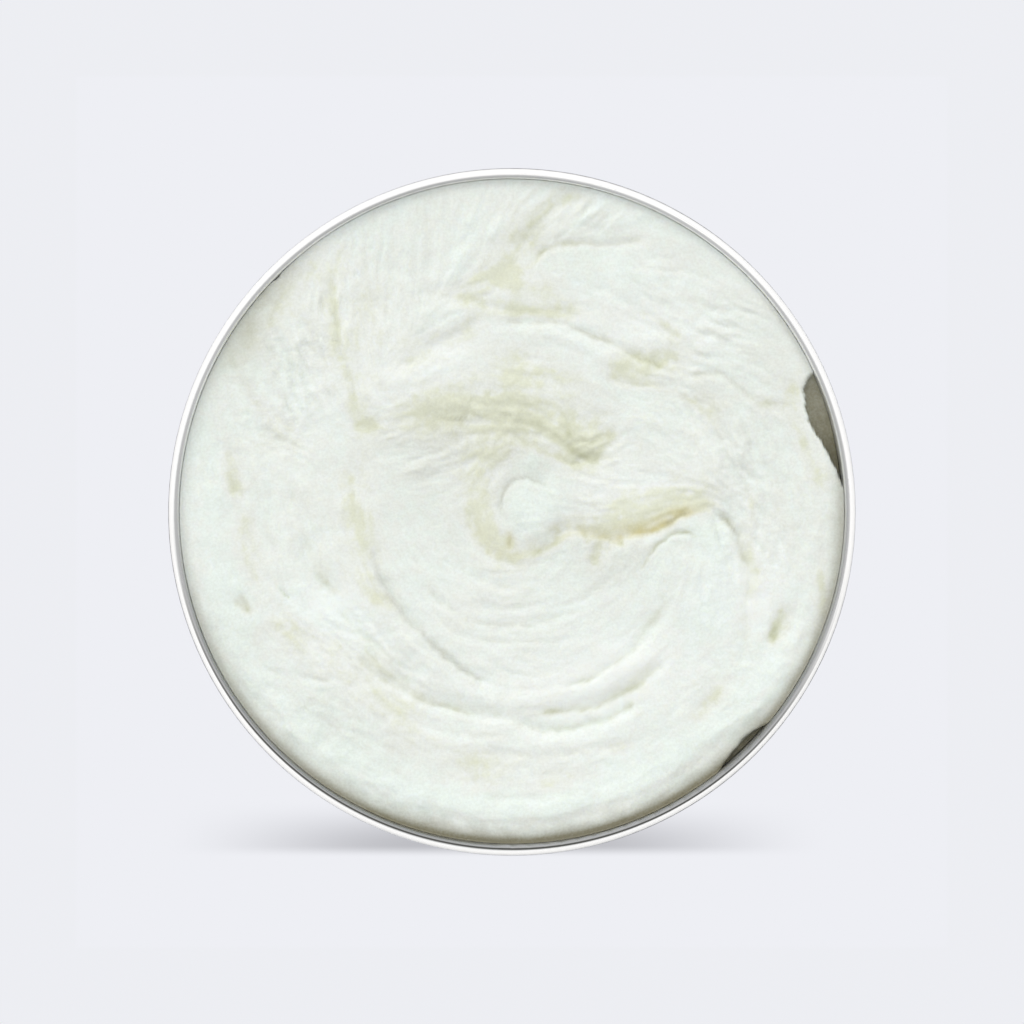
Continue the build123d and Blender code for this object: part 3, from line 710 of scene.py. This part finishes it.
def disc_grid(cells, radius):
    """Even square grid of points drawn onto a disc, ring by ring."""
    a = np.linspace(-1, 1, cells + 1)
    u, v = np.meshgrid(a, a, indexing="ij")
    wide = np.abs(u) >= np.abs(v)
    safe_u, safe_v = np.where(u == 0, 1, u), np.where(v == 0, 1, v)
    r = np.where(wide, u, v)
    angle = np.where(wide, pi / 4 * v / safe_u, pi / 2 - pi / 4 * u / safe_v)
    return radius * r * np.cos(angle), radius * r * np.sin(angle)


def border(cells):
    """Indices of the grid's outline, anticlockwise."""
    n = cells + 1
    bottom = [i * n for i in range(cells)]
    right = [cells * n + j for j in range(cells)]
    top = [i * n + cells for i in range(cells, 0, -1)]
    left = [j for j in range(cells, 0, -1)]
    return bottom + right + top + left


def side_profile():
    """Radius and height of the soap against the tin, from the neck down to the floor."""
    bend_in, bend_out = 1.35, 0.85
    steps = np.linspace(0, pi / 2, 4)
    points = [(NECK_IN_R, NECK_Z)]
    points += [(NECK_IN_R + bend_in * (1 - cos(t)), NECK_Z - bend_in * sin(t)) for t in steps[1:]]
    points += [(BODY_IN_R - bend_out * (1 - sin(t)), WALL_TOP_Z + bend_out * cos(t)) for t in steps[1:]]
    corner = BODY_IN_R - SOAP_CORNER_R
    for t in steps:
        points.append((corner + SOAP_CORNER_R * cos(t), SOAP_FLOOR_Z + SOAP_CORNER_R * (1 - sin(t))))
    points += [(corner * 0.6, SOAP_FLOOR_Z), (corner * 0.25, SOAP_FLOOR_Z)]
    return points


def make_mesh(name, points, faces, body):
    mesh = bpy.data.meshes.new(name)
    mesh.from_pydata((np.asarray(points) * MM).tolist(), [], faces)
    mesh.polygons.foreach_set("use_smooth", [True] * len(mesh.polygons))
    mesh.update()
    made = bpy.data.objects.new(name, mesh)
    bpy.context.scene.collection.objects.link(made)
    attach(made, body)
    return made


def build_soap():
    x, y = disc_grid(GRID, NECK_IN_R)
    x, y = x.ravel(), y.ravel()
    z, colours = soap_top(x, y)
    n = GRID + 1
    faces = [
        (i * n + j, (i + 1) * n + j, (i + 1) * n + j + 1, i * n + j + 1)
        for i in range(GRID)
        for j in range(GRID)
    ]
    ring = border(GRID)
    points = [np.stack([x, y, z], 1)]
    bx, by = x[ring] / NECK_IN_R, y[ring] / NECK_IN_R
    total, last = len(x), ring
    for radius, height in side_profile():
        points.append(np.stack([bx * radius, by * radius, np.full_like(bx, height)], 1))
        new = list(range(total, total + len(ring)))
        faces += [(last[k], new[k], new[k - 1], last[k - 1]) for k in range(len(ring))]
        total, last = total + len(ring), new
    points.append(np.array([[0, 0, SOAP_FLOOR_Z]]))
    faces += [(last[k], total, last[k - 1]) for k in range(len(ring))]
    made = make_mesh("soap_swirled", np.vstack(points), faces, "tin")
    rest = total + 1 - len(x)
    for name, values in colours.items():
        layer = made.data.attributes.new(name, "FLOAT", "POINT")
        layer.data.foreach_set("value", np.concatenate([values, np.zeros(rest)]).astype(np.float32))
    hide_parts("soap_puck")
    return made


# ---------------------------------------------------------------- materials


def soap_material():
    made, t = material("soap_swirl")
    place, x, y, z = t.object_xyz()
    ivory, olive, shade = t.attribute("ivory"), t.attribute("olive"), t.attribute("shade")
    blotch = t.noise(place, 900, 4, 0.6)
    speck = t.noise(place, 3200, 3, 0.6)
    ivory = t.math("ADD", ivory, t.fade(blotch, 0.35, 0.75, -0.16, 0.2))
    mint = t.mix(t.fade(ivory, -0.5, 0.3), (0.911, 0.998, 0.952, 1), (0.911, 0.947, 0.906, 1))
    pale = t.mix(t.fade(ivory, 0.15, 1.1), mint, (0.838, 0.869, 0.725, 1))
    stained = t.mix(t.fade(olive, 0.0, 1.3), pale, (0.49, 0.51, 0.30, 1))
    stained = t.mix(t.attribute("amber"), stained, (0.70, 0.62, 0.26, 1))
    # Painted shade: the shade attribute, with a fine speckle, darkens the soap towards a brown-olive shade
    # colour
    shade = t.math("ADD", shade, t.fade(speck, 0.3, 0.7, -0.045, 0.045))
    colour = t.mix(shade, stained, (0.25, 0.235, 0.16, 1))
    grain = t.bump(blotch, 0.40, 0.00014)
    pores = t.bump(speck, 0.45, 0.00007, grain)
    inputs = {
        "Base Color": colour,
        "Roughness": t.fade(speck, 0.3, 0.7, 0.52, 0.66),
        "Specular IOR Level": 0.35,
        "Subsurface Weight": 0.30,
        "Subsurface Radius": (1.0, 0.95, 0.7),
        "Subsurface Scale": 0.0007,
        "Normal": pores,
    }
    t.surface(t.node("ShaderNodeBsdfPrincipled", inputs))
    return made


def spun(t, x, y, z, centre_x):
    """Radius, bearing, and the noise of turning marks round an axis."""
    off = t.math("SUBTRACT", x, centre_x)
    r = t.math("SQRT", t.math("ADD", t.math("MULTIPLY", off, off), t.math("MULTIPLY", y, y)))
    bearing = t.math("ARCTAN2", y, off)
    c, s = t.math("COSINE", bearing), t.math("SINE", bearing)
    near = t.vector(r, z, t.math("MULTIPLY", c, 0.0004))
    marks = t.noise_4d(near, t.math("MULTIPLY", s, 0.0004), 5200, 3, 0.65)
    wide = t.vector(r, z, t.math("MULTIPLY", c, 0.0010))
    bands = t.noise_4d(wide, t.math("MULTIPLY", s, 0.0010), 1500, 3, 0.6)
    return r, bearing, marks, bands


def metal(t, colour, roughness, normal, metallic=1.0):
    around = t.node("ShaderNodeTangent", direction_type="RADIAL", axis="Z")
    inputs = {
        "Base Color": colour,
        "Metallic": metallic,
        "Roughness": roughness,
        "Anisotropic": 0.65,
        "Anisotropic Rotation": 0.25,
        "Tangent": around,
        "Normal": normal,
    }
    return t.node("ShaderNodeBsdfPrincipled", inputs)


def tin_material():
    made, t = material("aluminium_spun")
    place, x, y, z = t.object_xyz()
    r, bearing, marks, bands = spun(t, x, y, z, 0.0)
    smudge = t.noise(place, 90, 4, 0.6)
    scuff = t.noise(t.vector(t.math("MULTIPLY", x, 3.0), y, z), 1400, 3, 0.7)
    colour = t.mix(t.fade(bands, 0.3, 0.7), (0.69, 0.70, 0.715, 1), (0.75, 0.76, 0.77, 1))
    colour = t.mix(t.fade(smudge, 0.52, 0.75, 0.0, 0.35), colour, (0.56, 0.57, 0.58, 1))
    rough = t.math("ADD", t.fade(marks, 0.3, 0.7, 0.24, 0.36), t.fade(smudge, 0.45, 0.75, 0.0, 0.14))
    normal = t.bump(marks, 0.35, 0.00003)
    normal = t.bump(t.fade(scuff, 0.62, 0.72), 0.12, 0.00004, normal)
    # Painted light on the rolled rim: a painted white highlight on top, painted grey reflection and shade
    # where it turns in (darker on the lower side), and a painted dark reflection line between the two
    top = t.fade(z, 0.0252, 0.0256)
    low = t.math("COSINE", t.math("SUBTRACT", bearing, radians(265)))
    roll_r = t.math("SUBTRACT", r, t.math("MULTIPLY", low, 0.00008))
    roll = t.math("MULTIPLY", top, t.fade(roll_r, 0.03932, 0.03955))
    # Painted reflection: the inner edge of the mouth bright, the rest grey; on the lower side all of it
    # painted darker grey as shade
    mouth_painted_reflection = t.mix(t.fade(r, 0.03895, 0.03915), (0.90, 0.90, 0.90, 1), (0.46, 0.465, 0.47, 1))
    turned_in_painted_light = t.mix(t.fade(low, -0.4, 0.6), mouth_painted_reflection, (0.42, 0.425, 0.43, 1))
    colour = t.mix(t.math("MULTIPLY", top, t.fade(roll_r, 0.03955, 0.03932)), colour, turned_in_painted_light)
    # Painted white highlight over the top of the roll
    colour = t.mix(roll, colour, (1.0, 1.0, 1.0, 1))
    # Painted dark reflection line in the curl, strongest on the lower side
    line_x, line_y = t.math("SUBTRACT", x, 0.00007), t.math("SUBTRACT", y, 0.0003)
    squares = t.math("ADD", t.math("MULTIPLY", line_x, line_x), t.math("MULTIPLY", line_y, line_y))
    line_r = t.math("SQRT", squares)
    line = t.math("MULTIPLY", t.fade(line_r, 0.03946, 0.03956), t.fade(line_r, 0.03976, 0.03966))
    line = t.math("MULTIPLY", line, top)
    amount = t.math("MULTIPLY", line, t.fade(low, 0.0, 0.8, 0.0, 0.95))
    colour = t.mix(amount, colour, (0.06, 0.06, 0.055, 1))
    raised = t.vector(0.0, 0.0, t.math("MULTIPLY", roll, 1.6))
    normal = t.node("ShaderNodeVectorMath", {0: normal, 1: raised}, operation="ADD")
    normal = t.node("ShaderNodeVectorMath", {0: normal}, operation="NORMALIZE")
    # Under the painted white highlight the roll is made mostly non-metal, so it stays white
    t.surface(metal(t, colour, rough, normal, t.math("SUBTRACT", 1.0, t.math("MULTIPLY", roll, 0.75))))
    return made


def lid_material():
    made, t = material("aluminium_satin")
    place, x, y, z = t.object_xyz()
    _, _, marks, bands = spun(t, x, y, z, LID_X)
    smudge = t.noise(place, 70, 4, 0.6)
    colour = t.mix(t.fade(bands, 0.3, 0.7), (0.665, 0.675, 0.69, 1), (0.71, 0.72, 0.73, 1))
    colour = t.mix(t.fade(smudge, 0.55, 0.8, 0.0, 0.35), colour, (0.54, 0.55, 0.56, 1))
    rough = t.math("ADD", t.fade(marks, 0.3, 0.7, 0.30, 0.44), t.fade(smudge, 0.45, 0.75, 0.0, 0.12))
    normal = t.bump(marks, 0.45, 0.00004)
    t.surface(metal(t, colour, rough, normal))
    return made


def foam_material():
    made, t = material("foam_fine")
    place, x, y, z = t.object_xyz()
    cells = t.node("ShaderNodeTexVoronoi", {"Vector": place, "Scale": 2600.0}, feature="DISTANCE_TO_EDGE")
    cloudy = t.noise(place, 120, 4, 0.6)
    skin = t.noise(place, 5200, 2, 0.6)
    colour = t.mix(t.fade(cloudy, 0.3, 0.7), (0.85, 0.85, 0.838, 1), (0.87, 0.87, 0.86, 1))
    colour = t.mix(t.fade(cells, 0.0, 0.12, 0.45, 0.0), colour, (0.58, 0.58, 0.56, 1))
    off = t.math("SUBTRACT", x, LID_X)
    r = t.math("SQRT", t.math("ADD", t.math("MULTIPLY", off, off), t.math("MULTIPLY", y, y)))
    pressed = t.math("MULTIPLY", t.fade(r, 0.0388, 0.0393), t.fade(r, 0.0400, 0.0396))
    colour = t.mix(t.math("MULTIPLY", pressed, 0.35), colour, (0.60, 0.61, 0.61, 1))
    normal = t.bump(t.fade(cells, 0.0, 0.25), 0.5, 0.00006)
    normal = t.bump(skin, 0.3, 0.00003, normal)
    inputs = {
        "Base Color": colour,
        "Roughness": 0.62,
        "Subsurface Weight": 0.15,
        "Subsurface Radius": (1.0, 1.0, 0.95),
        "Subsurface Scale": 0.0006,
        "Normal": normal,
    }
    t.surface(t.node("ShaderNodeBsdfPrincipled", inputs))
    return made


# ---------------------------------------------------------------- liner


def build_liner():
    """Foam disc whose upper face, at rest, keeps the print of the tin's rim."""
    low, high = liner_box[0].z / MM, liner_box[1].z / MM
    outer = liner_box[1].x / MM - LID_X / MM
    around, edge = 288, 0.18
    radii = np.concatenate([np.linspace(0.8, 36, 34), np.linspace(36.5, outer - 0.4, 18)])
    corner = [(outer - edge * (1 - sin(a)), high - edge * (1 - cos(a))) for a in np.linspace(0, pi / 2, 5)]
    under = [(outer - edge * (1 - cos(a)), low + edge * (1 - sin(a))) for a in np.linspace(0, pi / 2, 5)]
    profile = [(r, None) for r in radii] + corner + under + [(r, low) for r in (36.0, 24.0, 12.0, 2.0)]
    angles = np.arange(around) * 2 * pi / around
    points, faces = [[LID_X / MM, 0, high - 0.02]], []
    for index, (r, z) in enumerate(profile):
        px, py = r * np.cos(angles), r * np.sin(angles)
        if z is None:
            wavy = 0.008 * cloud(px, py, 9.0, 131) - 0.02
            print_depth = 0.22 * np.exp(-(((r - 39.45) / 0.42) ** 2))
            print_depth += 0.04 * np.exp(-(((r - 37.6) / 0.9) ** 2))
            pz = high + wavy - print_depth
        else:
            pz = np.full_like(px, z)
        points += np.stack([px + LID_X / MM, py, pz], 1).tolist()
        start = 1 + index * around
        for k in range(around):
            nxt = (k + 1) % around
            if index == 0:
                faces.append((0, start + k, start + nxt))
            else:
                faces.append((start - around + k, start + k, start + nxt, start - around + nxt))
    points.append([LID_X / MM, 0, low])
    start = 1 + (len(profile) - 1) * around
    faces += [(len(points) - 1, start + (k + 1) % around, start + k) for k in range(around)]
    made = make_mesh("liner_pressed", points, faces, "liner")
    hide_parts("lid_liner")
    return made


# ---------------------------------------------------------------- stage, light, camera

PAPER = (0.855, 0.863, 0.905, 1)
CAMERA_UP = 320.0  # mm above the rim
FOCAL = 96.48
SENSOR = 36.0


def floor_material():
    """Pale paper. Looked at from straight above it is evenly lit, with a painted soft shadow under the tin.
    """
    made, t = material("paper")
    place, x, y, z = t.object_xyz()
    grain = t.noise(place, 400, 3, 0.6)
    paper = t.mix(t.fade(grain, 0.3, 0.7), (0.91, 0.918, 0.955, 1), (0.94, 0.948, 0.985, 1))
    glossy = t.tree.nodes.new("ShaderNodeLightPath").outputs["Is Glossy Ray"]
    turns = t.math("COSINE", t.math("ADD", t.math("MULTIPLY", t.math("ARCTAN2", y, x), 3.0), 2.2))
    amount = t.math("MULTIPLY", glossy, t.fade(turns, -0.7, 0.9, 0.0, 0.85))
    paper = t.mix(amount, paper, (0.16, 0.16, 0.17, 1))
    matte = t.node("ShaderNodeBsdfDiffuse", {"Color": paper, "Roughness": 0.6})
    ax, ay = t.math("ABSOLUTE", x), t.math("ABSOLUTE", y)
    square = t.math("MAXIMUM", ax, ay)
    inside = t.fade(square, 0.0553, 0.0546)
    flat = t.mix(inside, (0.846, 0.855, 0.892, 1), PAPER)
    flat = t.mix(painted_contact_shadow(t, x, y), flat, (0.30, 0.30, 0.325, 1))
    even = t.node("ShaderNodeEmission", {"Color": flat, "Strength": 1.0})
    ray = t.tree.nodes.new("ShaderNodeLightPath").outputs["Is Camera Ray"]
    facing = t.tree.nodes.new("ShaderNodeNewGeometry").outputs["Incoming"]
    down = t.tree.nodes.new("ShaderNodeSeparateXYZ")
    t.tree.links.new(facing, down.inputs[0])
    above = t.math("MULTIPLY", ray, t.fade(down.outputs[2], 0.90, 0.93))
    above = t.math("MULTIPLY", above, t.fade(square, 0.086, 0.070))
    t.surface(t.node("ShaderNodeMixShader", {0: above, 1: matte, 2: even}))
    return made


def painted_contact_shadow(t, x, y):
    """Darkness of the painted soft shadow below the tin, widest low down, crisp along its lower edge."""
    y0 = t.math("ADD", y, 0.0424)
    wide = t.fade(t.math("ABSOLUTE", t.math("ADD", x, 0.002)), 0.043, 0.008)
    top = t.fade(y0, 0.0062, 0.0004)
    bottom = t.fade(y0, -0.0012, 0.0004)
    mark = t.math("MULTIPLY", t.math("MULTIPLY", wide, top), bottom)
    return t.math("MULTIPLY", mark, 0.62)


def build_floor():
    half = 2.5
    corners = [(-half, -half, 0), (half, -half, 0), (half, half, 0), (-half, half, 0)]
    mesh = bpy.data.meshes.new("floor")
    mesh.from_pydata(corners, [], [(0, 1, 2, 3)])
    made = bpy.data.objects.new("floor", mesh)
    bpy.context.scene.collection.objects.link(made)
    wear(made, floor_material())
    return made


def build_world():
    """A soft studio dome, brightest high up and towards +Y."""
    world = bpy.data.worlds.new("studio")
    world.use_nodes = True
    bpy.context.scene.world = world
    t = Tree(world.node_tree)
    direction = t.node("ShaderNodeTexCoord", output=0)
    parts = t.tree.nodes.new("ShaderNodeSeparateXYZ")
    t.tree.links.new(direction, parts.inputs[0])
    high = t.fade(parts.outputs[2], -0.05, 0.9, 0.44, 0.72)
    towards = {0: direction, 1: (-0.28, 0.78, 0.56)}
    key = t.node("ShaderNodeVectorMath", towards, output=1, operation="DOT_PRODUCT")
    key = t.math("MULTIPLY", t.fade(key, 0.3, 1.0), 0.95)
    strength = t.math("ADD", high, key)
    bearing = t.math("ARCTAN2", parts.outputs[1], parts.outputs[0])
    sides = t.math("COSINE", t.math("ADD", t.math("MULTIPLY", bearing, 3.0), 0.8))
    low = t.fade(sides, -0.9, 0.9, 0.28, 1.0)
    card = t.node("ShaderNodeMapRange", {0: parts.outputs[2], 1: 0.0, 2: 0.6, 3: low, 4: 1.15})
    glossy = t.tree.nodes.new("ShaderNodeLightPath").outputs["Is Glossy Ray"]
    strength = t.node("ShaderNodeMix", {0: glossy, 2: strength, 3: card}, data_type="FLOAT")
    light = t.node("ShaderNodeBackground", {"Color": (1.0, 0.995, 0.985, 1), "Strength": strength})
    seen = t.node("ShaderNodeBackground", {"Color": PAPER, "Strength": 1.0})
    ray = t.tree.nodes.new("ShaderNodeLightPath").outputs["Is Camera Ray"]
    shader = t.node("ShaderNodeMixShader", {0: ray, 1: light, 2: seen})
    t.node("ShaderNodeOutputWorld", {"Surface": shader})


def build_camera():
    data = bpy.data.cameras.new("camera")
    data.sensor_width = SENSOR
    data.lens = FOCAL
    data.clip_start = 0.01
    data.clip_end = 20
    made = bpy.data.objects.new("camera", data)
    made.location = (0, 0, (rim_z + CAMERA_UP) * MM)
    bpy.context.scene.collection.objects.link(made)
    bpy.context.scene.camera = made


soap = build_soap()
wear(soap, soap_material())
liner = build_liner()
wear(liner, foam_material())
wear(nodes["tin_base"], tin_material())
wear(nodes["screw_lid"], lid_material())
build_floor()
build_world()
build_camera()
bpy.context.scene.view_settings.view_transform = "Standard"
